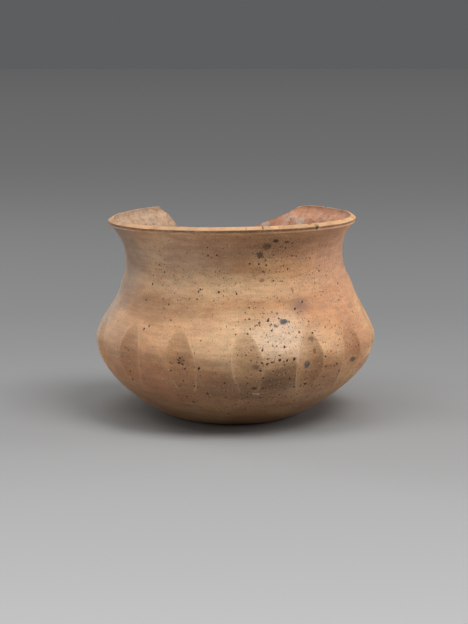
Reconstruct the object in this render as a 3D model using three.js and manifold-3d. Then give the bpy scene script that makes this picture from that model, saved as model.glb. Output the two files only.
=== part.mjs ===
// A small open earthenware jar with a keeled, fluted belly and a broken neck.
// The clay members are stacked on the +Z axis: base slab, lower bowl, shoulder,
// neck collar and rim lip. They meet face to face at level luting seams.
// Millimetres and degrees. The jar stands on Z = 0, its front faces -Y, and the
// gap in its neck is at the back. Azimuth grows from the front towards +X.

import * as THREE from "three";
import { mergeVertices } from "three/addons/utils/BufferGeometryUtils.js";
import Module from "manifold-3d";

const wasm = await Module();
wasm.setup();

const { lerp, smoothstep, degToRad } = THREE.MathUtils;

// Outer form, from the floor up
const baseRadius = 20.5;
const slabThickness = 4.2;
const bellyRadius = 42.4;
const bellyHeight = 24.3;
const ridgeRadius = 35.1;
const ridgeHeight = 40.4;
const waistRadius = 32.8;
const waistHeight = 47.5;
const rimRadius = 36.9;
const rimHeight = 58.1;

// How full each stretch of the outer wall is, as the exponent of its curve
const undersideFullness = 2.03;
const neckFootFullness = 2;
const neckFlareFullness = 2.6;
const shoulderSwell = 0.5;

// Walls, measured level
const wellRadius = 17;
const bellyWall = 4.2;
const ridgeWall = 3.4;
const waistWall = 2.7;
const rimWall = 2.2;

// Lip: it leans out to a narrow edge, then bevels in to a thin crest
const lipHeight = 2.1;
const lipOverhang = 0.25;
const lipLean = 1;
const lipEdge = 0.3;
const lipBevel = 1.2;
const lipCrest = 0.4;
const lipSeam = 0.1;

// Flutes: gouge marks across the keel of the belly. Each strays from its even
// place and leans, as [drift, lean], from the front one round towards the right.
const fluteMarks = [
  [0, 7], [0, 1], [-2.5, 0], [-1.5, 4], [0.8, 6], [1.5, 2], [-0.5, 5],
  [-2, 8], [0.5, 3], [1.8, 0], [1, 5], [0.5, 14], [0, 0], [-0.7, 9],
];
const fluteCount = fluteMarks.length;
const frontFluteAzimuth = 4.6;
const fluteTop = 31;
const fluteFoot = 13;
const fluteDepth = 1.35;
const gougeRadius = 8;
const fluteRunOut = 0.15;

// Break: the outline of the missing sherd, seen from the front as [x, height]
const breakOutline = [
  [-25.0, 62.1],
  [-22.9, 59.2],
  [-21.1, 57.5],
  [-19.5, 56.1],
  [-17.6, 53.3],
  [-14.4, 49.9],
  [-9.8, 47.9],
  [-2.9, 49.3],
  [2.3, 50.4],
  [8.8, 53.4],
  [13.3, 54.9],
  [17.2, 57.0],
  [20.5, 58.6],
  [23.9, 60.0],
  [26.5, 62.2],
];
const breakReach = 50;

// Settling: while soft the jar leaned to the left at its foot and mouth, and
// its rim rose at the right and, less, at the front and back
const footSway = 0.9;
const rimSway = 1.04;
const rightRise = 0.45;
const backRise = 0.09;
const saddleRise = 0.18;

// Facets
const turnSegments = fluteCount * 6;
const bowlSteps = 9;
const shoulderSteps = 7;
const neckSteps = 8;
const slabSteps = 3;
const gougeSegments = 26;
const gougeSteps = 8;

const lipSeat = rimHeight + lipSeam;
const jarHeight = rimHeight + lipHeight;

// Radius of the outside of the wall at a height
function outerRadius(height) {
  if (height <= bellyHeight) {
    const left = 1 - height / bellyHeight;
    return bellyRadius - (bellyRadius - baseRadius) * left ** undersideFullness;
  }
  if (height <= ridgeHeight) {
    const rise = (height - bellyHeight) / (ridgeHeight - bellyHeight);
    const eased = lerp(rise, smoothstep(rise, 0, 1), shoulderSwell);
    return lerp(bellyRadius, ridgeRadius, eased);
  }
  if (height <= waistHeight) {
    const left = 1 - (height - ridgeHeight) / (waistHeight - ridgeHeight);
    return lerp(waistRadius, ridgeRadius, left ** neckFootFullness);
  }
  const rise = (height - waistHeight) / (rimHeight - waistHeight);
  return lerp(waistRadius, rimRadius, rise ** neckFlareFullness);
}

// Radius of the inside of the wall at a height
function innerRadius(height) {
  const bellyInside = bellyRadius - bellyWall;
  if (height <= bellyHeight) {
    const left = (bellyHeight - height) / (bellyHeight - slabThickness);
    return bellyInside - (bellyInside - wellRadius) * left ** undersideFullness;
  }
  if (height <= ridgeHeight) {
    const rise = (height - bellyHeight) / (ridgeHeight - bellyHeight);
    return outerRadius(height) - lerp(bellyWall, ridgeWall, rise);
  }
  if (height <= waistHeight) {
    const rise = (height - ridgeHeight) / (waistHeight - ridgeHeight);
    return outerRadius(height) - lerp(ridgeWall, waistWall, rise);
  }
  const rise = (height - waistHeight) / (rimHeight - waistHeight);
  return outerRadius(height) - lerp(waistWall, rimWall, rise);
}

// Points along one side of the wall, at even heights
function wallLine(radiusAt, from, to, steps) {
  return Array.from({ length: steps + 1 }, (_, i) => {
    const height = lerp(from, to, i / steps);
    return new THREE.Vector2(radiusAt(height), height);
  });
}

// Lathe turns its profile about Y, so the result is tipped up to stand on Z
function turned(profile) {
  return new THREE.LatheGeometry(profile, turnSegments).rotateX(Math.PI / 2);
}

// A ring of the wall between two level seams
function wallRing(from, to, steps) {
  const outside = wallLine(outerRadius, from, to, steps);
  const inside = wallLine(innerRadius, to, from, steps);
  return turned([...outside, ...inside, outside[0].clone()]);
}

function solidOf(geometry) {
  const bare = geometry.clone();
  bare.deleteAttribute("normal");
  bare.deleteAttribute("uv");
  const merged = mergeVertices(bare);
  return new wasm.Manifold(
    new wasm.Mesh({
      numProp: 3,
      vertProperties: merged.attributes.position.array,
      triVerts: new Uint32Array(merged.index.array),
    }),
  );
}

function geometryOf(solid) {
  const { vertProperties, triVerts } = solid.getMesh();
  const geometry = new THREE.BufferGeometry();
  geometry.setAttribute("position", new THREE.BufferAttribute(vertProperties, 3));
  geometry.setIndex(new THREE.BufferAttribute(triVerts, 1));
  geometry.computeVertexNormals();
  return geometry;
}

function cut(geometry, cutters) {
  const rest = cutters.reduce((solid, cutter) => solid.subtract(cutter), solidOf(geometry));
  return geometryOf(rest);
}

// The path of the gouge's centre. Its edge dips under the wall between the top
// and the foot of the flute, and runs straight on past both, so that the flute
// fades out at a point.
class GougePath extends THREE.Curve {
  constructor() {
    super();
    const top = new THREE.Vector3(outerRadius(fluteTop), 0, fluteTop);
    const foot = new THREE.Vector3(outerRadius(fluteFoot), 0, fluteFoot);
    const middleHeight = (fluteTop + fluteFoot) / 2;
    const deepest = outerRadius(middleHeight) - fluteDepth;
    const pull = new THREE.Vector3(2 * deepest - (top.x + foot.x) / 2, 0, middleHeight);
    this.edge = new THREE.QuadraticBezierCurve3(top, pull, foot);
    this.length = this.edge.getLength();
  }

  getPoint(t, target = new THREE.Vector3()) {
    const along = lerp(-fluteRunOut, 1 + fluteRunOut, t);
    const onEdge = Math.min(Math.max(along, 0), 1);
    const heading = this.edge.getTangent(onEdge);
    const outward = new THREE.Vector3(-heading.z, 0, heading.x);
    return target
      .copy(this.edge.getPoint(onEdge))
      .addScaledVector(heading, (along - onEdge) * this.length)
      .addScaledVector(outward, gougeRadius);
  }
}

// One gouge for each flute, leaned about its own middle so that its foot moves
// round towards the right
function gouges() {
  const section = new THREE.Shape().absarc(0, 0, gougeRadius, 0, 2 * Math.PI);
  const tool = new THREE.ExtrudeGeometry(section, {
    curveSegments: gougeSegments,
    steps: gougeSteps,
    extrudePath: new GougePath(),
  });
  const middle = (fluteTop + fluteFoot) / 2;
  tool.translate(0, 0, -middle);
  return fluteMarks.map(([drift, lean], place) => {
    const azimuth = frontFluteAzimuth + (360 / fluteCount) * place + drift;
    const mark = tool.clone().rotateX(degToRad(lean)).translate(0, 0, middle);
    return solidOf(mark.rotateZ(degToRad(azimuth - 90)));
  });
}

// The missing sherd, pushed through the back wall
function sherd() {
  const outline = new THREE.Shape(breakOutline.map(([x, height]) => new THREE.Vector2(x, height)));
  const block = new THREE.ExtrudeGeometry(outline, { depth: breakReach, bevelEnabled: false });
  return solidOf(block.rotateX(Math.PI / 2).translate(0, breakReach, 0));
}

// A flat disc whose edge follows the start of the jar's underside
function baseSlab() {
  const edge = wallLine(outerRadius, 0, slabThickness, slabSteps);
  return turned([new THREE.Vector2(0, 0), ...edge, new THREE.Vector2(0, slabThickness)]);
}

// The flare of the neck runs on up both sides of the lip
function rimLip() {
  const inside = rimRadius - rimWall;
  const edge = rimRadius + lipOverhang;
  const crest = edge - lipBevel;
  return turned([
    new THREE.Vector2(inside, lipSeat),
    new THREE.Vector2(rimRadius, lipSeat),
    new THREE.Vector2(edge, lipSeat + lipLean),
    new THREE.Vector2(edge, lipSeat + lipLean + lipEdge),
    new THREE.Vector2(crest, jarHeight),
    new THREE.Vector2(crest - lipCrest, jarHeight),
    new THREE.Vector2(inside, lipSeat),
  ]);
}

// Moves each point of an even, level member to where it settled. The slab and
// both seams of the shoulder stay level.
function settled(geometry) {
  const points = geometry.attributes.position;
  for (let i = 0; i < points.count; i += 1) {
    const height = points.getZ(i);
    const azimuth = Math.atan2(points.getX(i), -points.getY(i));
    const neckShare = smoothstep(height, ridgeHeight, rimHeight);
    const footShare = 1 - smoothstep(height, 0, bellyHeight);
    const wave = rightRise * Math.sin(azimuth) - backRise * Math.cos(azimuth)
      + saddleRise * Math.cos(2 * azimuth);
    points.setX(i, points.getX(i) - rimSway * neckShare - footSway * footShare);
    points.setZ(i, height + wave * neckShare);
  }
  geometry.computeVertexNormals();
  return geometry;
}

const clay = (color) => new THREE.MeshStandardMaterial({ color, roughness: 0.75, metalness: 0 });

const flutes = gouges();
const gap = [sherd()];

const members = [
  ["base_slab", baseSlab(), clay("#7d5a40")],
  ["lower_bowl", cut(wallRing(slabThickness, bellyHeight, bowlSteps), flutes), clay("#94694a")],
  ["shoulder", cut(wallRing(bellyHeight, ridgeHeight, shoulderSteps), flutes), clay("#c0946c")],
  ["neck_collar", cut(wallRing(ridgeHeight, rimHeight, neckSteps), gap), clay("#ad8766")],
  ["rim_lip", cut(rimLip(), gap), clay("#c79a72")],
];

const jar = new THREE.Group();
for (const [name, geometry, material] of members) {
  const mesh = new THREE.Mesh(settled(geometry), material);
  mesh.name = name;
  jar.add(mesh);
}

export default jar;
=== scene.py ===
import math

import bpy
import numpy as np
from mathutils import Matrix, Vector


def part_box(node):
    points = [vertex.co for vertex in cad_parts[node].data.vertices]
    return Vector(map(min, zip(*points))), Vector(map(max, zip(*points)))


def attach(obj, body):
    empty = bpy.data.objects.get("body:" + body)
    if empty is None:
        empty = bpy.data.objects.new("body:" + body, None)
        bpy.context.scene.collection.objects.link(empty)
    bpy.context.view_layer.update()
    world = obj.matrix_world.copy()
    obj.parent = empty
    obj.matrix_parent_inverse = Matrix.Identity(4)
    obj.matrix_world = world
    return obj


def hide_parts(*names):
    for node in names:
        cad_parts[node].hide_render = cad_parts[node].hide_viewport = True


MM = 0.001

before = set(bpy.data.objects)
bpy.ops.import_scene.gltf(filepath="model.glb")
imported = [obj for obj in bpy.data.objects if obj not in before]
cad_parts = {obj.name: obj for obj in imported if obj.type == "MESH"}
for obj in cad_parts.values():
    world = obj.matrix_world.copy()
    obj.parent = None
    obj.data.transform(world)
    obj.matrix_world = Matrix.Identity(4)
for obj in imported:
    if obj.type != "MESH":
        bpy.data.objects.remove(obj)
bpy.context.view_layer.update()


def top_of(node):
    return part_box(node)[1][2] / MM


# Stations of the wall, as in the CAD nodes
base_radius = 20.5
slab_top = top_of("base_slab")
belly_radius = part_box("lower_bowl")[1][0] / MM
belly_height = top_of("lower_bowl")
ridge_radius = 35.1
ridge_height = top_of("shoulder")
waist_radius = 32.8
waist_height = 47.5
rim_radius = 36.9
rim_height = 58.1

# How the wall curves between its stations, and how far past the rim its flare is followed
underside_fullness = 2.03
neck_foot_fullness = 2.0
neck_flare_fullness = 2.6
shoulder_swell = 0.5
flare_end = 1.2

well_radius = 17.0
belly_wall = 4.2
ridge_wall = 3.4
waist_wall = 2.7
rim_wall = 2.2

lip_height = 2.1
lip_overhang = 0.25
lip_lean = 1.0
lip_edge = 0.3
lip_bevel = 1.2
lip_crest = 0.4

# Settling of the soft jar
foot_sway = 0.9
rim_sway = 1.04
right_rise = 0.45
back_rise = 0.09
saddle_rise = 0.18

# Flutes, from the front one round to the right: drift from an even place, and lean
front_flute_azimuth = 4.6
flute_marks = [
    (0, 7), (0, 1), (-2.5, 0), (-1.5, 4), (0.8, 6), (1.5, 2), (-0.5, 5),
    (-2, 8), (0.5, 3), (1.8, 0), (1, 5), (0.5, 14), (0, 0), (-0.7, 9),
]
flute_top = 31.0
flute_foot = 13.0
flute_depth = 1.35
gouge_radius = 8.0

# The missing sherd of the level jar, seen from the front as (x, height)
break_outline = [
    (-25.0, 62.1), (-22.9, 59.2), (-21.1, 57.5), (-19.5, 56.1), (-17.6, 53.3),
    (-14.4, 49.9), (-9.8, 47.9), (-2.9, 49.3), (2.3, 50.4), (8.8, 53.4),
    (13.3, 54.9), (17.2, 57.0), (20.5, 58.6), (23.9, 60.0), (26.5, 62.2),
]

# Wear and handwork that only the dressed jar shows
worn_reach = 1.2
worn_from, worn_fully = 2, 8
wear_end = 4
foot_rounding = 1.1
dent_azimuth, dent_height, dent_depth = -88, 36, 0.9
dent_half_angle, dent_half_height = 16, 6
hand_wave, hand_wave_size = 0.14, 17
hand_inset = 0.24
wiping_depth, wiping_size = 0.025, 5
turning_depth, turning_size = 0.03, 1.6
turning_from, turning_fully = 30, 36

# Flute edges: their softening, the burr beside them and the strip that is worn pale and painted with a
# highlight
flute_tail = 1.8
leaf_point = 1.6
edge_rounding = 0.08
burr_height, burr_offset, burr_width = 0.1, 0.16, 0.18
edge_offset, edge_width = 0.04, 0.14
edge_from, edge_fully = 0.15, 0.6
hollow_fully = 0.5
flute_edge_wear_and_highlight = 0.75
gouge_half_reach = 0.5

# Inside: hand waves, and the ridges that the fingers left
inner_wave, inner_wave_size = 0.14, 14
finger_ridge, finger_ridge_size = 0.09, 2.6

# Broken faces: how ragged their outline is, and their grain and wave
break_ragged, break_ragged_size = 0.32, 2.6
break_depth_share = 0.6
fracture_grain, fracture_grain_size = 0.28, 1.4
fracture_wave, fracture_wave_size = 0.2, 4
no_break = 99

# Lip: its groove, its uneven edge, its chips and its broken ends
lip_groove, lip_groove_share = 0.12, 0.55
lip_tuck = 0.04
lip_wave, lip_wave_size = 0.08, 9
lip_worn_share, lip_uneven, lip_uneven_size = 0.93, 0.06, 7
chip_depth, chip_size = 0.5, 2.6
chip_from, chip_fully, chip_height = 0.35, 0.8, 1.9
lip_half_angle, lip_break_fade = 160, 0.1

# Where on the lip its edge is worn pale with a painted highlight, its throat begins, and soil with a painted
# shadow darkens the groove under it
worn_edge_offset = 0.05
throat_before, throat_after = 0.1, 0.25
grime_share, grime_width = 0.85, 0.24
grime_deep, grime_shallow = 0.2, 0.05

# Floor of the jar: the spiral that turning left
spiral_pitch, spiral_depth = 3.4, 0.22

# Mesh spacing
columns = 880
slab_columns = 440
outer_step = 0.34
inner_step = 0.7
lip_step = 0.09
fracture_rows = 8
slab_edge_step, underside_step, floor_step = 0.3, 1.6, 0.8
pole_radius = 0.6
throat_points = 6
break_search, break_rounds = 20001, 30
rim_tolerance, seam_tolerance = 0.02, 1e-6
shortest_normal = 1e-9

# How noise is squeezed for marks that run round the jar
wiped_along = (0.35, 0.35, 1.6)
turned_along = (0.06, 0.06, 1.0)
fingered_along = (0.05, 0.05, 1.0)


# Numbers
noise_shift = 1000


def smooth(value, low, high):
    """0 under low and 1 over high, with an easy curve between them."""
    t = np.clip((value - low) / (high - low), 0, 1)
    return t * t * (3 - 2 * t)


def lattice(cells, seed):
    """A number from -1 to 1 for each whole-number cell. Large odd numbers scatter the bits."""
    n = cells[..., 0] * 374761393 + cells[..., 1] * 668265263 + cells[..., 2] * 2147483647
    n = (n + seed * 1013904223) & 0xFFFFFFFF
    n = ((n ^ (n >> 13)) * 1274126177) & 0xFFFFFFFF
    n = ((n ^ (n >> 16)) * 2246822519) & 0xFFFFFFFF
    return ((n ^ (n >> 15)) & 0xFFFFFF) / 0x7FFFFF - 1


def noise(points, size, seed):
    """Smooth noise from -1 to 1, with features about size across."""
    scaled = points / size + noise_shift
    cell = np.floor(scaled).astype(np.int64)
    f = scaled - cell
    f = f * f * (3 - 2 * f)
    total = 0
    for corner in np.ndindex(2, 2, 2):
        corner = np.array(corner)
        weight = np.prod(np.where(corner, f, 1 - f), axis=-1)
        total = total + weight * lattice(cell + corner, seed)
    return total


def layered(points, size, seed, layers=3):
    """Noise with finer and weaker layers added."""
    return sum(noise(points, size / 2**k, seed + k) / 2**k for k in range(layers))


def turned_from(theta, azimuth):
    """Signed angle from an azimuth, in radians from -pi to pi."""
    return (theta - math.radians(azimuth) + math.pi) % (2 * math.pi) - math.pi


# The wall
def outer_radius(z):
    left = np.clip(1 - z / belly_height, 0, 1)
    low = belly_radius - (belly_radius - base_radius) * left**underside_fullness
    rise = np.clip((z - belly_height) / (ridge_height - belly_height), 0, 1)
    eased = rise + (smooth(rise, 0, 1) - rise) * shoulder_swell
    shoulder = belly_radius + (ridge_radius - belly_radius) * eased
    left = np.clip(1 - (z - ridge_height) / (waist_height - ridge_height), 0, 1)
    foot = waist_radius + (ridge_radius - waist_radius) * left**neck_foot_fullness
    rise = np.clip((z - waist_height) / (rim_height - waist_height), 0, flare_end)
    flare = waist_radius + (rim_radius - waist_radius) * rise**neck_flare_fullness
    stations = [z <= belly_height, z <= ridge_height, z <= waist_height]
    return np.select(stations, [low, shoulder, foot], flare)


def worn_radius(z):
    """The outer wall with its keel, ridge and foot worn round."""
    ease = smooth(z, worn_from, worn_fully) * smooth(rim_height - z, 0, wear_end)
    above, below = outer_radius(z + worn_reach * ease), outer_radius(z - worn_reach * ease)
    radius = (above + 2 * outer_radius(z) + below) / 4
    short = np.clip(foot_rounding - z, 0, foot_rounding)
    return radius - foot_rounding + np.sqrt(foot_rounding**2 - short**2)


def inner_radius(z):
    """The inner wall, which follows the outer one above the belly."""
    inside = belly_radius - belly_wall
    left = np.clip((belly_height - z) / (belly_height - slab_top), 0, 1)
    low = inside - (inside - well_radius) * left**underside_fullness
    stations = [belly_height, ridge_height, waist_height, rim_height]
    wall = np.interp(z, stations, [belly_wall, ridge_wall, waist_wall, rim_wall])
    return np.where(z <= belly_height, low, outer_radius(z) - wall)


def sway(z):
    """How far the foot and the mouth lean, which is to the left."""
    return -rim_sway * smooth(z, ridge_height, rim_height) - foot_sway * (1 - smooth(z, 0, belly_height))


def lift(theta, z):
    """How far the warped rim stands above or below its level place."""
    wave = right_rise * np.sin(theta) - back_rise * np.cos(theta) + saddle_rise * np.cos(2 * theta)
    return wave * smooth(z, ridge_height, rim_height)


def placed(theta, z, radius):
    """Points of the settled pot from azimuth, level height and radius."""
    theta, z, radius = np.broadcast_arrays(theta, z, radius)
    x, y = radius * np.sin(theta) + sway(z), -radius * np.cos(theta)
    return np.stack([x, y, z + lift(theta, z)], axis=-1)


def cut_depth(z):
    """How deep the gouges reach at a height: they ease in and out, so that each flute is a leaf."""
    along = (flute_top + flute_tail - z) / (flute_top - flute_foot + 2 * flute_tail)
    return (flute_depth + hand_inset) * np.sin(math.pi * np.clip(along, 0, 1)) ** leaf_point


def fluted(theta, z, radius):
    """The radius that the gouges leave, with a low burr beside each cut.

    Also gives how near a cut's edge is, and how far inside a cut the place is."""
    middle = (flute_top + flute_foot) / 2
    depth_here = cut_depth(z)
    centre = worn_radius(z) - hand_inset - depth_here + gouge_radius
    edge, hollow = np.zeros(radius.shape), np.zeros(radius.shape)
    for i, (drift, lean) in enumerate(flute_marks):
        azimuth = front_flute_azimuth + i * 360 / len(flute_marks) + drift
        leaned = (z - middle) * math.tan(math.radians(lean)) / belly_radius
        off = turned_from(theta + leaned, azimuth)
        reach = gouge_radius**2 - (centre * np.sin(off)) ** 2
        hit = (reach > 0) & (np.abs(off) < gouge_half_reach) & (depth_here > 0)
        cut = centre * np.cos(off) - np.sqrt(np.where(hit, reach, 0))
        depth = np.where(hit, radius - cut, -gouge_radius)
        blend = np.clip(0.5 + depth / (2 * edge_rounding), 0, 1)
        clear = smooth(depth_here, edge_from, edge_fully)
        burr = clear * burr_height * np.exp(-(((depth + burr_offset) / burr_width) ** 2))
        edge = np.maximum(edge, clear * np.exp(-(((depth + edge_offset) / edge_width) ** 2)))
        hollow = np.maximum(hollow, smooth(depth, 0, hollow_fully))
        radius = radius - depth * blend - edge_rounding * blend * (1 - blend) + burr
    return radius, edge, hollow


def outside(theta, z):
    """Points of the outer wall with its flutes and hand marks, and where flutes and their edges are."""
    theta, z = np.broadcast_arrays(theta, z)
    radius = worn_radius(z)
    rough = placed(theta, z, radius)
    across_dent = np.degrees(turned_from(theta, dent_azimuth)) / dent_half_angle
    radius = radius - dent_depth * np.exp(-across_dent**2 - ((z - dent_height) / dent_half_height) ** 2)
    radius = radius + hand_wave * layered(rough, hand_wave_size, seed=3, layers=2) - hand_inset
    wiping = wiping_depth * layered(rough * wiped_along, wiping_size, seed=11)
    lines = turning_depth * noise(rough * turned_along, turning_size, seed=21)
    wiping = wiping + lines * smooth(z, turning_from, turning_fully)
    radius, edge, hollow = fluted(theta, z, radius + wiping)
    return placed(theta, z, radius), edge, hollow


def inside(theta, z):
    """Points of the inner wall with its hand waves and finger ridges."""
    theta, z = np.broadcast_arrays(theta, z)
    radius = inner_radius(z)
    rough = placed(theta, z, radius)
    radius = radius + inner_wave * layered(rough, inner_wave_size, seed=31, layers=2)
    radius = radius + finger_ridge * noise(rough * fingered_along, finger_ridge_size, seed=41)
    return placed(theta, z, radius)


# The break
outline_x, outline_z = np.array(break_outline).T


def break_height(theta, radius):
    """Height at which the break cuts the level wall off, if it does."""
    x, y = radius * np.sin(theta), -radius * np.cos(theta)
    plan = np.stack([x, y * break_depth_share, 0 * x], axis=-1)
    height = np.interp(x, outline_x, outline_z, left=no_break, right=no_break)
    return np.where(y > 0, height + break_ragged * layered(plan, break_ragged_size, seed=51), no_break)


def wall_end(theta, radius_at):
    """Height at which the level wall stops, at the rim or at the break."""
    z = np.full_like(theta, rim_height)
    for _ in range(break_rounds):
        z = 0.5 * z + 0.5 * np.minimum(rim_height, break_height(theta, radius_at(z)))
    return z


# Meshes
def add_object(name, data):
    thing = bpy.data.objects.new(name, data)
    bpy.context.scene.collection.objects.link(thing)
    return thing


def grid_normals(points, wrap=True):
    along = np.gradient(points, axis=0)
    if wrap:
        around = np.roll(points, -1, axis=1) - np.roll(points, 1, axis=1)
    else:
        around = np.gradient(points, axis=1)
    normals = np.cross(around, along)
    return normals / np.maximum(np.linalg.norm(normals, axis=-1, keepdims=True), shortest_normal)


fact_names = ("inner", "broken", "edge", "level", "grime_and_shadow", "hollow")


class Block:
    """A stretch of surface as rows and columns, with what the clay shader asks about it."""

    def __init__(self, points, normals=None, wrap=True, **known):
        self.points = points
        self.normals = grid_normals(points, wrap) if normals is None else normals
        self.facts = {key: np.broadcast_to(known.get(key, 0.0), points.shape[:2]) for key in fact_names}


def stitched(blocks, row_count, column_count, spans):
    """Quads that join the rows of the blocks, and the normals and facts at their corners."""
    faces, normals = [], []
    facts = {key: [] for key in fact_names}
    start = 0
    for block in blocks:
        r, c = np.meshgrid(np.arange(len(block.points) - 1), np.arange(spans), indexing="ij")
        right = (c + 1) % column_count
        corners = [(r, c), (r, right), (r + 1, right), (r + 1, c)]
        quads = [(start + a) % row_count * column_count + b for a, b in corners]
        faces.append(np.stack(quads, axis=-1).reshape(-1, 4))
        normals.append(np.stack([block.normals[a, b] for a, b in corners], axis=2).reshape(-1, 3))
        for key, values in block.facts.items():
            facts[key].append(np.stack([values[a, b] for a, b in corners], axis=2).reshape(-1))
        start += len(block.points) - 1
    return [tuple(face) for face in np.concatenate(faces).tolist()], normals, facts


def pole_fans(rows, vertices):
    """Triangles that close the first and the last row, each round a vertex added at its middle."""
    row_count, column_count = rows.shape[:2]
    fans = []
    for row, flip in ((0, 1), (row_count - 1, -1)):
        ring = [row * column_count + k for k in range(column_count)]
        centre = len(vertices)
        vertices = np.vstack([vertices, rows[row].mean(axis=0)])
        fans += [(centre, ring[(k + 1) % column_count], ring[k])[::flip] for k in range(column_count)]
    return vertices, fans


def end_caps(row_count, column_count):
    """The two faces that close a piece which doesn't run all the way round."""
    first = tuple(k * column_count for k in range(row_count))
    last = tuple(k * column_count + column_count - 1 for k in reversed(range(row_count)))
    return [first, last]


def set_facts(mesh, facts, ends, poles):
    """Writes each fact to the corners of the mesh. The fans at the poles are level."""
    end_corners = sum(len(end) for end in ends)
    for key, values in facts.items():
        at_ends = float(poles and key == "level")
        layer = mesh.attributes.new(key, "FLOAT", "CORNER")
        values = np.concatenate(values + [np.full(end_corners, at_ends)])
        layer.data.foreach_set("value", values.astype(np.float32))


def set_normals(mesh, normals, ends):
    """Smooth normals on the quads, and flat ones on the faces that close the ends."""
    first_end = len(mesh.polygons) - len(ends)
    flat = [tuple(mesh.polygons[first_end + k].normal) for k, end in enumerate(ends) for _ in end]
    custom = np.concatenate([np.concatenate(normals), np.array(flat).reshape(-1, 3)])
    mesh.normals_split_custom_set(custom.tolist())


def make_piece(node, blocks, wrap=True, poles=False):
    """One closed mesh from blocks that follow each other round the section of the wall."""
    rows = np.concatenate([b.points[:-1] for b in blocks] + ([blocks[-1].points[-1:]] if poles else []))
    row_count, column_count = rows.shape[:2]
    spans = column_count if wrap else column_count - 1
    faces, normals, facts = stitched(blocks, row_count, column_count, spans)
    vertices, ends = rows.reshape(-1, 3), []
    if poles:
        vertices, ends = pole_fans(rows, vertices)
    elif not wrap:
        ends = end_caps(row_count, column_count)
    mesh = bpy.data.meshes.new(node)
    mesh.from_pydata((vertices * MM).tolist(), [], faces + ends)
    set_facts(mesh, facts, ends, poles)
    mesh.polygons.foreach_set("use_smooth", np.ones(len(mesh.polygons), dtype=bool))
    set_normals(mesh, normals, ends)
    finish_piece(add_object(node, mesh), node)


def spaced(low, high, step):
    """Numbers from low to high, about a step apart."""
    return np.linspace(low, high, max(2, round((high - low) / step) + 1))


def across(start, end, count):
    """Rows that lead straight from one row of points to another."""
    t = np.linspace(0, 1, count)[:, None, None]
    return start[None] * (1 - t) + end[None] * t


azimuths = np.linspace(-math.pi, math.pi, columns, endpoint=False)


def wall_heights(end, step):
    """Heights of the wall's rows from the slab up to its end, and the rows that lie on seams."""
    heights, seams = [np.full((1, columns), slab_top)], [0]
    for low, high in ((slab_top, belly_height), (belly_height, ridge_height), (ridge_height, end)):
        share = spaced(0, 1, step / (np.max(high) - low))[1:, None]
        heights.append(low + (high - low) * share * np.ones(columns))
        seams.append(seams[-1] + len(share))
    return np.vstack(heights), seams


def make_wall():
    """The lower bowl, the shoulder and the neck collar, whose surfaces run on over the seams."""
    outer_end = wall_end(azimuths, outer_radius)
    inner_end = wall_end(azimuths, inner_radius)
    outer_z, outer_seams = wall_heights(outer_end, outer_step)
    inner_z, inner_seams = wall_heights(inner_end, inner_step)
    outer, outer_edge, outer_hollow = outside(azimuths, outer_z)
    inner = inside(azimuths, inner_z[::-1])
    outer_normals, inner_normals = grid_normals(outer), grid_normals(inner)
    bottom_up = len(inner_z) - 1
    gap = (outer_end < rim_height - seam_tolerance).astype(float)
    for k, name in enumerate(("lower_bowl", "shoulder", "neck_collar")):
        out = slice(outer_seams[k], outer_seams[k + 1] + 1)
        back = slice(bottom_up - inner_seams[k + 1], bottom_up - inner_seams[k] + 1)
        # Flute edges, worn pale with a painted highlight, and the insides of the flutes
        worn = {"edge": outer_edge[out] * flute_edge_wear_and_highlight, "hollow": outer_hollow[out]}
        outer_block = Block(outer[out], outer_normals[out], **worn)
        inner_block = Block(inner[back], inner_normals[back], inner=1.0)
        start, end = outer[out][-1], inner[back][0]
        top = fracture(start, end, gap) if name == "neck_collar" else Block(across(start, end, 2))
        under = Block(across(inner[back][-1], outer[out][0], 2))
        make_piece(name, [outer_block, top, inner_block, under])


def fracture(start, end, gap):
    """The broken face along the top of the neck, level where the lip still sits on it."""
    points = across(start, end, fracture_rows)
    middle = np.sin(np.linspace(0, math.pi, fracture_rows))[:, None]
    grain = fracture_grain * layered(points, fracture_grain_size, seed=61)
    wave = fracture_wave * noise(points, fracture_wave_size, seed=71)
    points[..., 2] += (grain + wave) * middle * gap
    return Block(points, broken=gap)


def rounded(path, step, rounds):
    """The path at even steps, with its corners eased."""
    path = np.array(path, float)
    length = np.concatenate([[0], np.cumsum(np.linalg.norm(np.diff(path, axis=0), axis=1))])
    even = np.linspace(0, length[-1], round(length[-1] / step) + 1)
    line = np.stack([np.interp(even, length, path[:, k]) for k in range(2)], axis=1)
    for _ in range(rounds):
        line[1:-1] = (line[:-2] + 2 * line[1:-1] + line[2:]) / 4
    return line


def lip_section():
    """The lip's outline as (out, up) from its seat, whose inside curves up out of the neck's flare."""
    outer_side = [
        (0, 0),
        (-lip_groove, lip_lean * lip_groove_share),
        (lip_overhang - lip_tuck, lip_lean),
        (lip_overhang, lip_lean + lip_edge),
        (lip_overhang - lip_bevel, lip_height),
    ]
    throat = lip_overhang - lip_bevel - lip_crest
    along = np.linspace(0, 1, throat_points)
    inner_side = [(throat - (throat + rim_wall) * t**2, lip_height * (1 - t)) for t in along]
    return rounded(outer_side + inner_side, lip_step, rounds=1)


def lip_ends():
    """The azimuths, left and right, at which the break cuts the lip off."""
    around = np.linspace(-math.pi, math.pi, break_search)
    end = wall_end(around, lambda z: outer_radius(z) - rim_wall / 2)
    whole = around[(end >= rim_height - rim_tolerance) & (np.abs(around) < math.radians(lip_half_angle))]
    return whole[0], whole[-1]


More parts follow.
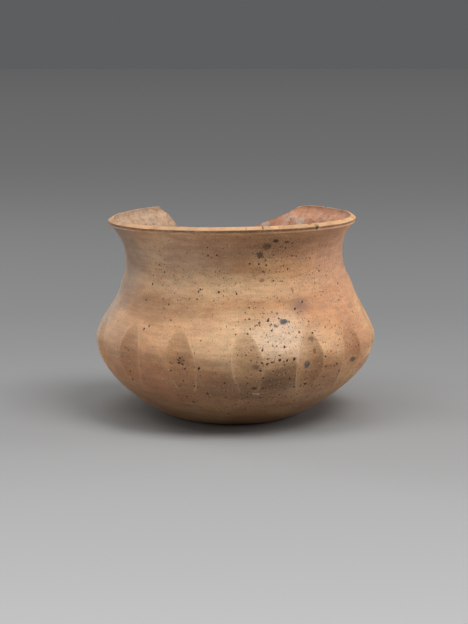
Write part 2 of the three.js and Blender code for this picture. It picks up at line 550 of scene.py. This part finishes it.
def make_lip():
    """The bevelled lip, from one side of the break round the front to the other."""
    low, high = lip_ends()
    theta = np.linspace(low, high, round(columns * (high - low) / (2 * math.pi)))
    out, up = lip_section().T[:, :, None]
    ring = placed(theta, rim_height, rim_radius + out)
    radius = rim_radius + out + lip_wave * layered(ring, lip_wave_size, seed=81) * smooth(up, 0, lip_lean)
    chips = chip_depth * smooth(noise(ring, chip_size, seed=97), chip_from, chip_fully)
    chips = chips * smooth(up, lip_lean, chip_height)
    share = lip_worn_share + lip_uneven * noise(ring, lip_uneven_size, seed=91)
    full = rim_height + up * share - chips
    z = np.clip(break_height(theta, radius), rim_height, full)
    broken = np.clip((full - z) / lip_break_fade, 0, 1)
    turn = smooth(-out, lip_bevel - throat_before, lip_bevel + throat_after)
    on_bevel = smooth(out, -lip_bevel - lip_crest, -lip_crest)
    # The lip's edge: worn pale, with a painted highlight
    edge = smooth(up, lip_lean + worn_edge_offset, lip_lean + lip_edge) * on_bevel
    # A dark line of soil and painted shadow under the lip's edge
    outer_side = smooth(out, -lip_groove - grime_deep, -lip_groove - grime_shallow)
    grime_and_shadow = np.exp(-(((up - lip_lean * grime_share) / grime_width) ** 2)) * outer_side
    points = placed(theta, z, radius)
    surface = Block(points, wrap=False, inner=turn, broken=broken, edge=edge, grime_and_shadow=grime_and_shadow)
    seat = Block(across(surface.points[-1], surface.points[0], 2), wrap=False)
    make_piece("rim_lip", [surface, seat], wrap=False)


def make_slab():
    """The flat base: its underside, its outer edge and the floor of the jar."""
    theta = np.linspace(-math.pi, math.pi, slab_columns, endpoint=False)
    edge, _, _ = outside(theta, spaced(0, slab_top, slab_edge_step)[:, None])
    under = placed(theta, 0.0, spaced(pole_radius, base_radius - foot_rounding, underside_step)[:, None])
    under[-1] = edge[0]
    seat = across(edge[-1], inside(theta, slab_top), 2)
    floor = placed(theta, slab_top, spaced(pole_radius, well_radius, floor_step)[::-1][:, None])
    spiral = np.linalg.norm(floor[..., :2], axis=-1) - theta * spiral_pitch / (2 * math.pi)
    floor[1:, :, 2] += spiral_depth * (np.sin(2 * math.pi * spiral / spiral_pitch) - 1)[1:]
    floor[0] = seat[-1]
    blocks = [Block(under, level=1.0), Block(edge), Block(seat), Block(floor, inner=1.0, level=1.0)]
    make_piece("base_slab", blocks, poles=True)


# Material
class Tree:
    """Short names for the shader nodes of a material or a world."""

    def __init__(self, owner):
        owner.use_nodes = True
        self.nodes = owner.node_tree.nodes
        self.links = owner.node_tree.links
        self.nodes.clear()

    def add(self, kind, **settings):
        node = self.nodes.new("ShaderNode" + kind)
        for key, value in settings.items():
            setattr(node, key, value)
        return node

    def feed(self, socket, value):
        if isinstance(value, bpy.types.NodeSocket):
            self.links.new(value, socket)
        elif isinstance(value, tuple) and socket.type == "RGBA" and len(value) == 3:
            socket.default_value = (*value, 1)
        else:
            socket.default_value = value

    def math(self, operation, a, b=0.0, clamp=False):
        node = self.add("Math", operation=operation, use_clamp=clamp)
        self.feed(node.inputs[0], a)
        self.feed(node.inputs[1], b)
        return node.outputs[0]

    def times(self, a, b):
        return self.math("MULTIPLY", a, b)

    def total(self, *values):
        result = values[0]
        for value in values[1:]:
            result = self.math("ADD", result, value)
        return result

    def vector(self, operation, a, b=(0, 0, 0)):
        node = self.add("VectorMath", operation=operation)
        self.feed(node.inputs[0], a)
        self.feed(node.inputs[1], b)
        return node.outputs["Value" if operation in ("LENGTH", "DISTANCE") else "Vector"]

    def combine(self, x, y, z):
        node = self.add("CombineXYZ")
        for socket, value in zip(node.inputs, (x, y, z)):
            self.feed(socket, value)
        return node.outputs[0]

    def separate(self, vector):
        node = self.add("SeparateXYZ")
        self.feed(node.inputs[0], vector)
        return node.outputs

    def noise(self, vector, size, detail=3.0, roughness=0.55, output="Fac"):
        node = self.add("TexNoise")
        self.feed(node.inputs["Vector"], vector)
        self.feed(node.inputs["Scale"], 1 / size)
        self.feed(node.inputs["Detail"], detail)
        self.feed(node.inputs["Roughness"], roughness)
        return node.outputs[output]

    def shaken(self, vector, point, size, amount, detail=3.0):
        """A vector moved about by noise."""
        push = self.vector("SUBTRACT", self.noise(point, size, detail, output="Color"), (0.5, 0.5, 0.5))
        return self.vector("ADD", vector, self.vector("MULTIPLY", push, amount))

    def between(self, value, low, high, to_low=0.0, to_high=1.0):
        """Maps low to to_low and high to to_high along a smooth curve."""
        node = self.add("MapRange", interpolation_type="SMOOTHSTEP")
        for socket, number in zip(node.inputs[:5], (value, low, high, to_low, to_high)):
            self.feed(socket, number)
        return node.outputs[0]

    def patches(self, point, size, low, high, least=0.0, most=1.0, detail=3.0, roughness=0.55):
        """Noise drawn apart into patches: least where it is under low, and most where it is over high."""
        return self.between(self.noise(point, size, detail, roughness), low, high, least, most)

    def mix(self, factor, a, b, blend="MIX"):
        node = self.add("Mix", data_type="RGBA", blend_type=blend)
        self.feed(node.inputs[0], factor)
        self.feed(node.inputs[6], a)
        self.feed(node.inputs[7], b)
        return node.outputs[2]

    def tinted(self, colour, mask, strength, shade):
        """A colour with a shade laid over it where the mask is."""
        return self.mix(self.times(mask, strength), colour, shade)

    def scaled(self, colour, noise, dark, light):
        """A colour darkened where the noise is low, and lightened where it is high."""
        level = self.between(noise, *noise_span, dark, light)
        return self.mix(1.0, colour, self.combine(level, level, level), "MULTIPLY")

    def fact(self, name):
        """What the mesh says about the place, under one of the fact names."""
        return self.add("Attribute", attribute_name=name).outputs["Fac"]

    def end(self, surface, kind="OutputMaterial"):
        self.feed(self.add(kind).inputs["Surface"], surface)


def srgb(red, green, blue):
    """A colour written as it looks on a screen, 0 to 255, as linear values."""
    levels = (v / 255 for v in (red, green, blue))
    return tuple(v / 12.92 if v <= 0.04 else ((v + 0.055) / 1.055) ** 2.4 for v in levels)


buff = srgb(224, 174, 127)
tan = srgb(210, 160, 117)
umber = srgb(146, 108, 80)
cream = srgb(238, 196, 152)
orange = srgb(216, 156, 116)
rust = srgb(158, 104, 76)
soot = srgb(62, 44, 34)
slate = srgb(76, 78, 84)
ash = srgb(206, 190, 174)
brick = srgb(180, 118, 88)
russet = srgb(190, 126, 86)
flute_tan = srgb(172, 124, 84)
# Pale of worn edges, with a painted highlight
pale_wear_and_highlight = srgb(244, 200, 150)
# Soil and painted shadow under the lip
dirt_and_shadow = srgb(96, 62, 42)

inner_grey, inner_red = srgb(196, 162, 132), srgb(206, 146, 112)
inner_bloom, inner_stain = srgb(214, 194, 176), srgb(132, 92, 66)
inner_deep = srgb(122, 92, 70)
core_tan, core_grain = srgb(190, 162, 130), srgb(156, 110, 84)

# Inside and on the core: where the clay turns red, the bloom spreads and the depth grows dark
side_waver = 20.0
red_from, red_fully = 0, 24
bloom_from, bloom_fully, left_bloom = -10, 20, 0.45
rim_bloom_height, rim_bloom = 59, 0.35
throat_bloom_height, throat_bloom = 54, 0.85
inner_stain_strength = 0.6
deep_from, deep_fully = 46, 14
core_half_arc = 30

# Where most noise lies, and how far each texture darkens and lightens the clay
noise_span = (0.3, 0.7)
texture_tones = {"streaks": (0.93, 1.05), "mottle": (0.9, 1.1), "grain": (0.94, 1.06), "dust": (0.92, 1.08)}

# Dots and specks as shares of their radius, and grit as shares of the crowding
smallest_dot, largest_dot, dot_core = 0.5, 1.5, 0.65
speck_halo, speck_core = 1.3, 0.9
less_grit, more_grit = 0.9, 1.5
lip_grit_from, lip_grit_fully, lip_grit = 0.2, 0.9, 0.15
pale_grit_shift = (31, 17, 0)

# How strongly each kind of grit shows, and its colour, from the bottom layer up
grit_tones = {
    "pale": (0.4, srgb(240, 212, 180)),
    "fine": (0.65, srgb(112, 72, 50)),
    "small": (0.8, srgb(92, 56, 38)),
    "coarse": (0.95, srgb(52, 33, 24)),
}

# How high each layer stands on the surface, or how deep it is sunk
relief = {
    "grain": 0.03, "dust": 0.02, "mottle": 0.1, "streaks": 0.07,
    "pale": 0.03, "coarse": -0.2, "small": -0.1, "fine": -0.05,
}
crumb_height = 0.5

# Roughness over the span of the skin's two textures, and what bare clay adds to it
skin_span, skin_roughness = (0.7, 1.3), (0.44, 0.64)
bare_roughness = 0.2
hollow_dulling = 0.22
clay_specular = 0.4

# Fire clouds, and some patches of painted light and shade: name, azimuth, height, half width, half height,
# softness, colour, strength
clouds = [
    ("grey smoke on the left of the neck", -66, 50, 12, 12, 0.6, srgb(122, 110, 102), 0.6),
    ("dull left of the neck", -26, 51, 14, 8, 0.8, srgb(200, 172, 150), 0.45),
    # Partly dull clay, partly painted shade under the overhang of the lip
    ("dull strip and painted shade under the lip", 14, 56, 20, 3.5, 0.8, umber, 0.55),
    ("brown right foot of the lip", 40, 54.5, 16, 4, 0.8, umber, 0.7),
    ("pink right side of the neck", 62, 48, 20, 8, 0.8, srgb(204, 150, 120), 0.8),
    ("ochre streak on the neck", 36, 46, 9, 3, 0.8, srgb(220, 166, 116), 0.6),
    ("warm right shoulder", 52, 37, 18, 6, 0.8, orange, 0.7),
    # Painted light: the upward-facing ledge is paler where the light from above falls on it
    ("pale ledge", -8, 43, 32, 2.8, 0.7, cream, 0.6),
    ("pale ledge further right", 22, 41.5, 9, 2.4, 0.8, cream, 0.6),
    ("brown band under the ledge", -42, 36, 20, 2.2, 0.8, umber, 0.4),
    # Partly pale slip, partly a painted highlight: the sheen of the burnished shoulder is laid into the
    # colour
    ("cream slip under a painted highlight", 8, 29, 17, 6, 0.8, cream, 0.9),
    ("whiter heart of the painted highlight", 20, 29.5, 8, 5, 0.8, srgb(246, 220, 192), 0.8),
    ("pale right keel", 36, 27, 7, 4, 0.8, cream, 0.35),
    ("peach on the left lobes", -42, 29, 14, 4, 0.8, srgb(230, 176, 132), 0.55),
    # Painted light: the far left shoulder is pale where the cool rim light from behind on the left falls
    ("pale far left shoulder", -80, 33, 7, 9, 0.7, ash, 0.65),
    ("dull brown on the left flutes", -58, 25, 10, 6, 0.8, srgb(166, 130, 110), 0.3),
    ("rust at the lower left", -38, 15, 20, 8, 0.8, srgb(182, 116, 82), 0.55),
    ("brick on the right flank", 60, 27, 6, 7, 0.8, srgb(180, 116, 82), 0.55),
    ("burnt patch under the bloom", 21, 18, 8, 4, 0.4, srgb(84, 60, 44), 0.5),
    ("tan inside the front flute", 5, 23, 4, 5, 0.8, srgb(230, 184, 138), 0.6),
    ("smoke under the front flute", 2, 15.5, 14, 3.5, 0.8, srgb(96, 68, 48), 0.45),
    ("shade under the right keel", 40, 18, 8, 3.5, 0.8, umber, 0.5),
    ("golden right side", 38, 38, 18, 18, 0.8, srgb(216, 150, 94), 0.35),
    # Partly smoke, partly painted shade: the downward-facing underside is darkened towards the floor
    ("smoke and painted shade on the underside", 0, 6, 60, 9, 0.5, srgb(92, 66, 46), 0.42),
    ("stain on the shoulder", 29, 37.5, 3.5, 2.2, 0.8, srgb(146, 108, 92), 0.7),
]

# Stains with an edge: name, azimuth, height, half width, half height, colour, strength
stains = [
    ("smudge on the neck", 12, 52, 1.1, 1.0, soot, 0.75),
    ("brown patch above it", 15, 54.4, 1.6, 1.0, srgb(112, 74, 50), 0.8),
    ("dash above that", 19, 55.9, 1.0, 0.45, soot, 0.95),
    ("dash beside it", 25, 55.4, 0.8, 0.35, soot, 0.8),
    ("dash below the smudge", 14, 47.2, 0.6, 0.3, soot, 0.8),
    ("blot at the neck's foot", 13, 44.7, 0.9, 0.5, rust, 0.8),
    ("dash on the shoulder", 28, 41.5, 0.35, 0.8, rust, 0.8),
    ("blue-grey spot on the shoulder", 21, 33.5, 1.3, 0.75, slate, 0.95),
    ("pale halo beside it", 23.5, 32.2, 0.8, 0.6, ash, 0.6),
    ("blue-grey spot below it", 17, 32.5, 0.6, 0.45, slate, 0.8),
    ("dirt at the top of the right flute", 32, 28.5, 0.9, 0.5, umber, 0.8),
    ("dash in the right flute", 33, 25, 0.45, 0.8, rust, 0.9),
    ("blue-grey spot in the flute", 30, 21.2, 1.0, 0.95, slate, 0.85),
    ("blue-grey spot at the right", 57, 20.1, 0.9, 0.8, slate, 0.8),
    ("blue-grey spot at the far right", 77, 30.2, 0.8, 0.7, slate, 0.7),
    ("cluster in the left flute", -22, 22.8, 0.9, 1.0, soot, 0.3),
    ("smudge in the front flute", 8, 21.6, 0.9, 0.8, soot, 0.5),
    ("blot at the foot of the front flute", 8, 15.1, 1.0, 0.5, soot, 0.8),
    ("chip under it", 9, 13.2, 1.3, 0.22, ash, 0.9),
    ("pit in the lip", 39.3, 59.4, 0.7, 0.8, soot, 0.95),
    ("pale grit beside the pit", 41, 59.2, 0.6, 0.5, cream, 0.95),
    ("white chip at the left of the lip", -65, 60.3, 1.5, 0.5, ash, 0.9),
]

# Burnt specks: azimuth, height, radius
specks = [
    (0, 30.6, 0.3), (5, 30.7, 0.22), (6, 32, 0.2), (6, 34.6, 0.28), (6, 37.5, 0.22), (9, 37.6, 0.18),
    (10, 33.6, 0.22), (9, 32.9, 0.18), (14, 34, 0.34), (15, 31.5, 0.22), (19, 34.5, 0.24), (27, 30.5, 0.24),
    (13, 28.6, 0.18), (33, 30, 0.25), (17, 24.8, 0.25), (17, 23.5, 0.36), (20, 23.2, 0.26), (23, 23.6, 0.4),
    (12, 22.6, 0.26), (12, 24, 0.2), (11, 18.4, 0.24), (31, 15.2, 0.32), (22, 17.6, 0.26), (6, 10, 0.22),
    (49, 25.2, 0.2), (44, 20.5, 0.3), (32, 38.3, 0.26), (27.5, 36.6, 0.22), (23, 54.2, 0.2), (25, 53.6, 0.2),
    (28, 55, 0.22), (19, 51.8, 0.24), (15, 50.3, 0.22), (7, 49.5, 0.24), (32, 51, 0.2), (41, 50, 0.26),
    (53, 53, 0.2), (67, 46.8, 0.25), (27, 47.6, 0.24), (-14, 21.2, 0.26), (-12, 13.4, 0.24),
    (-17, 15.7, 0.22), (-20, 9.8, 0.24), (-8, 41.6, 0.3), (-18, 39.7, 0.22), (-17, 42.2, 0.24),
    (-46, 38, 0.25), (-32, 37.6, 0.24), (-34, 36.4, 0.22), (-29, 33.5, 0.2), (-39, 31.3, 0.24),
    (-49, 23.6, 0.22), (-23, 22.2, 0.3), (-38, 46.2, 0.24), (-22.6, 23.6, 0.26), (-21.6, 21.8, 0.3),
    (-21, 23, 0.18), (-23.4, 23, 0.18), (-20.6, 20.6, 0.2),
]

# Where dark grit crowds: azimuth, height, half width, half height, share of the clay's grit
grit_fields = [
    (18, 52, 8, 7, 0.6), (20, 33, 13, 8, 0.18), (28, 25, 15, 6, 0.36), (8, 12, 36, 8, 0.2),
    (-22, 23, 5, 4, 0.3), (60, 28, 10, 14, 0.3), (46, 49, 14, 8, 0.35), (-12, 39, 16, 3, 0.15),
    (26, 13, 20, 7, 0.45), (10, 43, 26, 4, 0.1),
]

# The wall is mapped flat at this radius. Azimuths become arcs, and slopes are allowed for by the radius.
arc_radius = 40.0
slope_share = 0.35

# How noise is squeezed for bands and streaks, and moved for bleaching
banding = (0.6, 0.6, 1.5)
streaking = (0.07, 0.07, 1.0)
bleached_shift = (50, 20, 10)


class Wall:
    """Places on the jar, in millimetres."""

    def __init__(self, tree):
        coordinates = tree.add("TexCoord").outputs["Object"]
        self.point = tree.vector("MULTIPLY", coordinates, (1 / MM,) * 3)
        x, y, self.z = tree.separate(self.point)
        azimuth = tree.math("ARCTAN2", x, tree.times(y, -1.0))
        self.arc = tree.times(azimuth, arc_radius)
        self.map = tree.combine(self.arc, self.z, 0.0)
        self.banded = tree.vector("MULTIPLY", self.point, banding)
        radius = tree.vector("LENGTH", tree.combine(x, y, 0.0))
        slant = tree.total(self.z, tree.times(radius, slope_share))
        skin = tree.combine(self.arc, slant, 0.0)
        self.skin = tree.mix(tree.fact("level"), skin, tree.combine(x, y, 0.0))


def spot(tree, place, azimuth, height, width, tall, softness):
    """1 in the middle of a spot on the wall, and 0 outside it."""
    away = tree.vector("SUBTRACT", place, (math.radians(azimuth) * arc_radius, height, 0))
    stretched = tree.vector("MULTIPLY", away, (1 / width, 1 / tall, 0))
    return tree.between(tree.vector("LENGTH", stretched), 1 + softness, 1 - softness)


def scattered(tree, skin, size, radius, crowding):
    """Ragged dots of about a radius, one in each cell whose number is under the crowding."""
    cells = tree.add("TexVoronoi", voronoi_dimensions="2D")
    tree.feed(cells.inputs["Vector"], skin)
    tree.feed(cells.inputs["Scale"], 1 / size)
    chance, width, _ = tree.separate(cells.outputs["Color"])
    there = tree.math("LESS_THAN", chance, crowding)
    reach = tree.between(width, 0, 1, radius * smallest_dot / size, radius * largest_dot / size)
    share = tree.math("DIVIDE", cells.outputs["Distance"], reach)
    return tree.times(tree.between(share, 1.0, dot_core), there)


def grit_crowding(tree, wall):
    """The share of grit that shows at each place of the wall. The lip has little."""
    soft = tree.shaken(wall.map, wall.point, size=8, amount=(10, 8, 0), detail=2)
    crowd = tree.patches(wall.point, size=13, low=0.45, high=0.75, least=0.05, most=0.3, detail=2)
    for azimuth, height, width, tall, share in grit_fields:
        field = spot(tree, soft, azimuth, height, width, tall, softness=0.6)
        crowd = tree.total(crowd, tree.times(field, share))
    low, high = rim_height + lip_grit_from, rim_height + lip_grit_fully
    return tree.times(crowd, tree.between(wall.z, low, high, 1.0, lip_grit))


def burnt_specks(tree, ragged):
    """All the specks of the list as one mask."""
    mask = 0.0
    for azimuth, height, radius in specks:
        away = tree.vector("DISTANCE", ragged, (math.radians(azimuth) * arc_radius, height, 0))
        mask = tree.math("MAXIMUM", mask, tree.between(away, radius * speck_halo, radius * speck_core))
    return mask


def outer_colour(tree, wall):
    """The outside: buff clay, reddened and bleached in bands, under fire clouds and patches of painted light
    and shade.
    """
    elsewhere = tree.vector("ADD", wall.banded, bleached_shift)
    tanned = tree.patches(wall.point, size=16, low=0.35, high=0.65)
    reddened = tree.patches(wall.banded, size=7, low=0.44, high=0.66, most=0.45, roughness=0.45)
    bleached = tree.patches(elsewhere, size=9, low=0.5, high=0.68, most=0.4, roughness=0.45)
    colour = buff
    for patch, shade in ((tanned, tan), (reddened, russet), (bleached, cream)):
        colour = tree.mix(patch, colour, shade)
    warped = tree.shaken(wall.map, wall.point, size=9, amount=(9, 6, 0), detail=4)
    for _, azimuth, height, width, tall, softness, shade, strength in clouds:
        cloud = spot(tree, warped, azimuth, height, width, tall, softness)
        colour = tree.tinted(colour, cloud, strength, shade)
    return colour


def inner_colour(tree, wall):
    """Greyish tan on the left, red with a pale mineral bloom on the right, dark low down."""
    waver = tree.times(tree.noise(wall.point, size=10), side_waver)
    arc = tree.total(wall.arc, waver)
    colour = tree.mix(tree.between(arc, red_from, red_fully), inner_grey, inner_red)
    bloom = tree.patches(wall.point, size=4.5, low=0.44, high=0.62, detail=5, roughness=0.7)
    bloom = tree.times(bloom, tree.between(arc, bloom_from, bloom_fully, left_bloom, 1.0))
    strength = tree.between(wall.z, rim_bloom_height, throat_bloom_height, rim_bloom, throat_bloom)
    colour = tree.tinted(colour, bloom, strength, inner_bloom)
    stain = tree.patches(wall.point, size=2.4, low=0.5, high=0.66, detail=5, roughness=0.75)
    colour = tree.tinted(colour, stain, inner_stain_strength, inner_stain)
    return tree.mix(tree.between(wall.z, deep_from, deep_fully), colour, inner_deep)


def core_colour(tree, wall):
    """The fresh core of the clay: tan on the left and brick red on the right."""
    colour = tree.mix(tree.between(wall.arc, -core_half_arc, core_half_arc), core_tan, brick)
    grain = tree.patches(wall.point, size=1.3, low=0.4, high=0.65, detail=5, roughness=0.7)
    return tree.mix(grain, colour, core_grain)


def textures(tree, wall):
    """The clay's even variation, from wiping streaks down to dust."""
    wiped = tree.vector("MULTIPLY", wall.point, streaking)
    return {
        "streaks": tree.noise(wiped, size=0.8, detail=4, roughness=0.6),
        "mottle": tree.noise(wall.banded, size=2.4, roughness=0.5),
        "grain": tree.noise(wall.point, size=0.62, detail=2, roughness=0.6),
        "dust": tree.noise(wall.point, size=0.3, detail=1, roughness=0.5),
    }


def grit_layers(tree, wall, ragged):
    """Masks of the grit: coarse with the burnt specks, small, fine, and grains that are pale."""
    crowd = grit_crowding(tree, wall)
    crumbled = tree.shaken(wall.skin, wall.point, size=0.4, amount=(0.35, 0.35, 0))
    elsewhere = tree.vector("ADD", crumbled, pale_grit_shift)
    coarse = scattered(tree, crumbled, size=3.2, radius=0.24, crowding=crowd)
    less, more = (tree.times(crowd, share) for share in (less_grit, more_grit))
    return {
        "coarse": tree.math("MAXIMUM", coarse, burnt_specks(tree, ragged)),
        "small": scattered(tree, crumbled, size=1.4, radius=0.17, crowding=less),
        "fine": scattered(tree, crumbled, size=0.8, radius=0.12, crowding=more),
        "pale": scattered(tree, elsewhere, size=1.1, radius=0.16, crowding=less),
    }


def stained(tree, ragged, colour):
    """The colour under the stains that have an edge."""
    for _, azimuth, height, width, tall, shade, strength in stains:
        stain = spot(tree, ragged, azimuth, height, width, tall, softness=0.4)
        colour = tree.tinted(colour, stain, strength, shade)
    return colour


def worn(tree, wall, colour):
    """Pale along edges that are worn and painted with a highlight, and dark in the groove under the lip with
    soil and a painted shadow.
    """
    rubbed_and_highlit = tree.patches(wall.point, size=5, low=0.35, high=0.65, least=0.12, most=0.5)
    soiled_and_shaded = tree.noise(wall.point, size=1.6, detail=4, roughness=0.7)
    soiled_and_shaded = tree.between(soiled_and_shaded, low=0.4, high=0.55, to_low=0.2, to_high=0.75)
    # Worn pale, with a painted highlight, along the edges of the flutes and the lip
    colour = tree.tinted(colour, tree.fact("edge"), rubbed_and_highlit, pale_wear_and_highlight)
    # Soil and a painted shadow in the groove under the lip's edge
    return tree.tinted(colour, tree.fact("grime_and_shadow"), soiled_and_shaded, dirt_and_shadow)


def bumped(tree, wall, layers):
    """The surface's normal under its relief, with crumbs on the broken faces."""
    surface = tree.total(*[tree.times(layers[name], tall) for name, tall in relief.items()])
    crumbs = tree.times(tree.noise(wall.point, size=0.8, detail=5, roughness=0.7), crumb_height)
    surface = tree.total(surface, tree.times(crumbs, tree.fact("broken")))
    bump = tree.add("Bump")
    tree.feed(bump.inputs["Strength"], 1.0)
    tree.feed(bump.inputs["Distance"], MM)
    tree.feed(bump.inputs["Height"], surface)
    return bump.outputs[0]


def clay_material():
    """Fired clay, the same on every member, told apart by where it lies on the jar."""
    material = bpy.data.materials.new("fired_clay")
    tree = Tree(material)
    wall = Wall(tree)
    inner, broken = tree.fact("inner"), tree.fact("broken")
    colour = tree.mix(inner, outer_colour(tree, wall), inner_colour(tree, wall))
    colour = tree.mix(broken, colour, core_colour(tree, wall))

    layers = textures(tree, wall)
    for name, (dark, light) in texture_tones.items():
        colour = tree.scaled(colour, layers[name], dark, light)
    dulled = tree.times(tree.fact("hollow"), hollow_dulling)
    colour = tree.mix(dulled, colour, flute_tan)

    ragged = tree.shaken(wall.map, wall.point, size=0.9, amount=(1.0, 1.0, 0))
    colour = worn(tree, wall, stained(tree, ragged, colour))
    layers.update(grit_layers(tree, wall, ragged))
    for name, (strength, shade) in grit_tones.items():
        colour = tree.tinted(colour, layers[name], strength, shade)

    shader = tree.add("BsdfPrincipled")
    tree.feed(shader.inputs["Base Color"], colour)
    skin = tree.total(layers["mottle"], layers["grain"])
    gloss = tree.between(skin, *skin_span, *skin_roughness)
    bare = tree.times(tree.total(inner, broken, dulled), bare_roughness)
    tree.feed(shader.inputs["Roughness"], tree.math("ADD", gloss, bare, clamp=True))
    tree.feed(shader.inputs["Specular IOR Level"], clay_specular)
    tree.feed(shader.inputs["Normal"], bumped(tree, wall, layers))
    tree.end(shader.outputs[0])
    return material


clay = clay_material()


def finish_piece(piece, node):
    """Gives a piece its clay and its place in the frame."""
    piece.data.materials.append(clay)
    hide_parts(node)
    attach(piece, "root")


make_slab()
make_wall()
make_lip()


# Stage, light and camera
camera_x, camera_distance, camera_height = -0.43, 435, 104
aim_height = 30.3
lens_length, sensor_height = 83.65, 36
near_clip = 10
jar_centre = 35
softbox_distance = 0.8
white, cool = (1.0, 1.0, 1.0), (0.92, 0.97, 1.0)

# Domes of soft light: name, azimuth, elevation, spread, level
domes = [
    ("overhead_dome", 0, 86, 40, 0.34),
    ("key_dome", 54, 60, 28, 0.47),
    ("left_dome", -64, 58, 28, 0.19),
]

# Soft boxes: name, azimuth, elevation, width and height in metres, level, colour
softboxes = [
    ("right_strip", 92, 14, 0.25, 0.5, 0.32, white),
    ("left_strip", -66, 14, 0.25, 0.5, 0.14, white),
    ("left_back_strip", -125, 20, 0.2, 0.6, 0.2, cool),
    ("right_back_strip", 125, 20, 0.2, 0.6, 0.08, cool),
]

# The floor's light and reach, the faint light from all round, and the backdrop
floor_light, floor_reach = 1.14, 60.0
fill_level = 0.03
backdrop_grey = srgb(93, 94, 95)

# The floor's tone on a screen by nearness, from 0 far away to 1 near the camera: a painted falloff of light
floor_tones = [
    (0.0, 106), (0.057, 113), (0.2275, 124), (0.424, 140), (0.618, 164), (0.7645, 181), (1.0, 197),
]
nearest_floor = 260


def floor_material():
    """A plain floor painted darker with distance, as a sweep of studio paper looks where the light falls
    off.
    """
    material = bpy.data.materials.new("studio_floor")
    tree = Tree(material)
    _, y, _ = tree.separate(tree.add("TexCoord").outputs["Object"])
    distance = tree.math("MAXIMUM", tree.total(y, camera_distance * MM), nearest_floor * MM)
    ramp = tree.add("ValToRGB")
    tree.feed(ramp.inputs[0], tree.math("DIVIDE", nearest_floor * MM, distance))
    while len(ramp.color_ramp.elements) < len(floor_tones):
        ramp.color_ramp.elements.new(0.5)
    for element, (position, tone) in zip(ramp.color_ramp.elements, floor_tones):
        element.position = position
        element.color = (*[level / floor_light for level in srgb(tone, tone, tone)], 1)
    shader = tree.add("BsdfDiffuse")
    tree.feed(shader.inputs["Color"], ramp.outputs[0])
    tree.end(shader.outputs[0])
    return material


def make_floor():
    mesh = bpy.data.meshes.new("floor")
    corners = [(x * floor_reach, y * floor_reach, 0) for x, y in ((-1, -1), (1, -1), (1, 1), (-1, 1))]
    mesh.from_pydata(corners, [], [(0, 1, 2, 3)])
    mesh.materials.append(floor_material())
    add_object("floor", mesh)


def make_world():
    """A faint fill, and a plain grey backdrop where the camera or a reflection looks past the floor."""
    world = bpy.data.worlds.new("studio")
    bpy.context.scene.world = world
    tree = Tree(world)
    path = tree.add("LightPath").outputs
    seen = tree.math("MAXIMUM", path["Is Glossy Ray"], path["Is Transmission Ray"])
    seen = tree.math("MAXIMUM", path["Is Camera Ray"], seen)
    choice = tree.add("MixShader")
    tree.feed(choice.inputs[0], seen)
    for socket, colour, level in ((1, white, fill_level), (2, backdrop_grey, 1.0)):
        background = tree.add("Background")
        tree.feed(background.inputs["Color"], colour)
        tree.feed(background.inputs["Strength"], level)
        tree.feed(choice.inputs[socket], background.outputs[0])
    tree.end(choice.outputs[0], "OutputWorld")


def aim(thing, target):
    """Turns a lamp or a camera to look at a point."""
    away = Vector(thing.location) - Vector(target)
    thing.rotation_euler = away.to_track_quat("Z", "Y").to_euler()


def direction(azimuth, elevation):
    """A unit vector towards an azimuth and an elevation."""
    azimuth, elevation = math.radians(azimuth), math.radians(elevation)
    flat = math.cos(elevation)
    return Vector((math.sin(azimuth) * flat, -math.cos(azimuth) * flat, math.sin(elevation)))


def add_dome(name, azimuth, elevation, spread, level):
    """A very broad soft light from one side of the sky, even over the whole floor."""
    light = bpy.data.lights.new(name, "SUN")
    light.angle = math.radians(spread)
    light.energy = level * math.pi
    lamp = add_object(name, light)
    lamp.location = direction(azimuth, elevation)
    aim(lamp, (0, 0, 0))


def add_softbox(name, azimuth, elevation, width, height, level, colour):
    """A soft box that looks at the middle of the jar."""
    light = bpy.data.lights.new(name, "AREA")
    light.shape = "RECTANGLE"
    light.size = width
    light.size_y = height
    light.energy = level * math.pi**2 * softbox_distance**2
    light.color = colour
    lamp = add_object(name, light)
    jar_middle = Vector((0, 0, jar_centre * MM))
    lamp.location = jar_middle + direction(azimuth, elevation) * softbox_distance
    aim(lamp, jar_middle)


def add_camera():
    data = bpy.data.cameras.new("camera")
    data.sensor_fit = "VERTICAL"
    data.sensor_height = sensor_height
    data.lens = lens_length
    data.clip_start = near_clip * MM
    camera = add_object("camera", data)
    camera.location = (camera_x * MM, -camera_distance * MM, camera_height * MM)
    aim(camera, (camera_x * MM, 0, aim_height * MM))
    bpy.context.scene.camera = camera


make_floor()
make_world()
for dome in domes:
    add_dome(*dome)
for softbox in softboxes:
    add_softbox(*softbox)
add_camera()
bpy.context.scene.view_settings.view_transform = "Standard"
